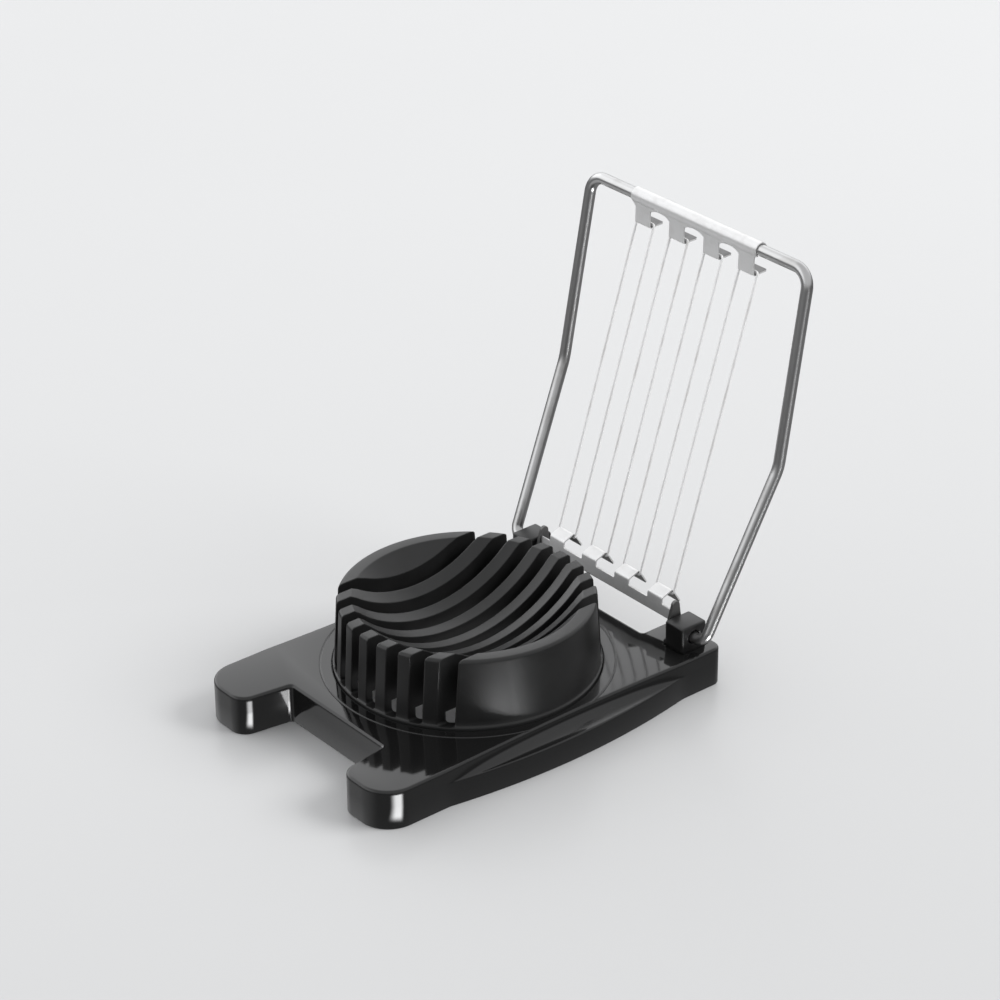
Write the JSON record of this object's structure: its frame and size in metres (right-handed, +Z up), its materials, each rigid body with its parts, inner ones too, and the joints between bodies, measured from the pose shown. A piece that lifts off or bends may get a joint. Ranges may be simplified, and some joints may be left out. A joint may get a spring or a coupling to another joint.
{
  "type": "egg slicer",
  "caption": "Egg slicer: a slotted round dish on a low base, and a hinged frame of bent wire that swings taut cutting wires down through the dish's slots.",
  "frame": {"origin": "centre of the object's footprint on the floor, with the frame open at rest", "axes": "+Z up, +Y towards the hinge at the back, +X to the right seen from the front, along the hinge axis"},
  "size_m": [0.0806, 0.1292, 0.106],
  "materials": {
    "gloss_black_plastic": "polished black plastic with fine handling marks",
    "matt_black_plastic": "fine-grained satin black plastic",
    "satin_steel_wire": "drawn stainless steel wire, satin",
    "bright_sheet_steel": "bright pressed steel sheet",
    "fine_steel_wire": "thin bright drawn steel wire"
  },
  "bodies": {
    "base": {"base_plate": "gloss_black_plastic", "slotted_dish": "matt_black_plastic", "hinge_block_left": "matt_black_plastic", "hinge_block_right": "matt_black_plastic"},
    "frame": {"frame_wire": "satin_steel_wire", "upper_comb": "bright_sheet_steel", "lower_comb": "bright_sheet_steel", "cutting_wire_1": "fine_steel_wire", "cutting_wire_2": "fine_steel_wire", "cutting_wire_3": "fine_steel_wire", "cutting_wire_4": "fine_steel_wire"}
  },
  "joints": [
    {"name": "frame_hinge", "type": "hinge", "parent": "base", "child": "frame", "pos_m": [0, 0.03327, 0.0135], "axis": [1, 0, 0], "range_deg": [0, 107.7]}
  ]
}
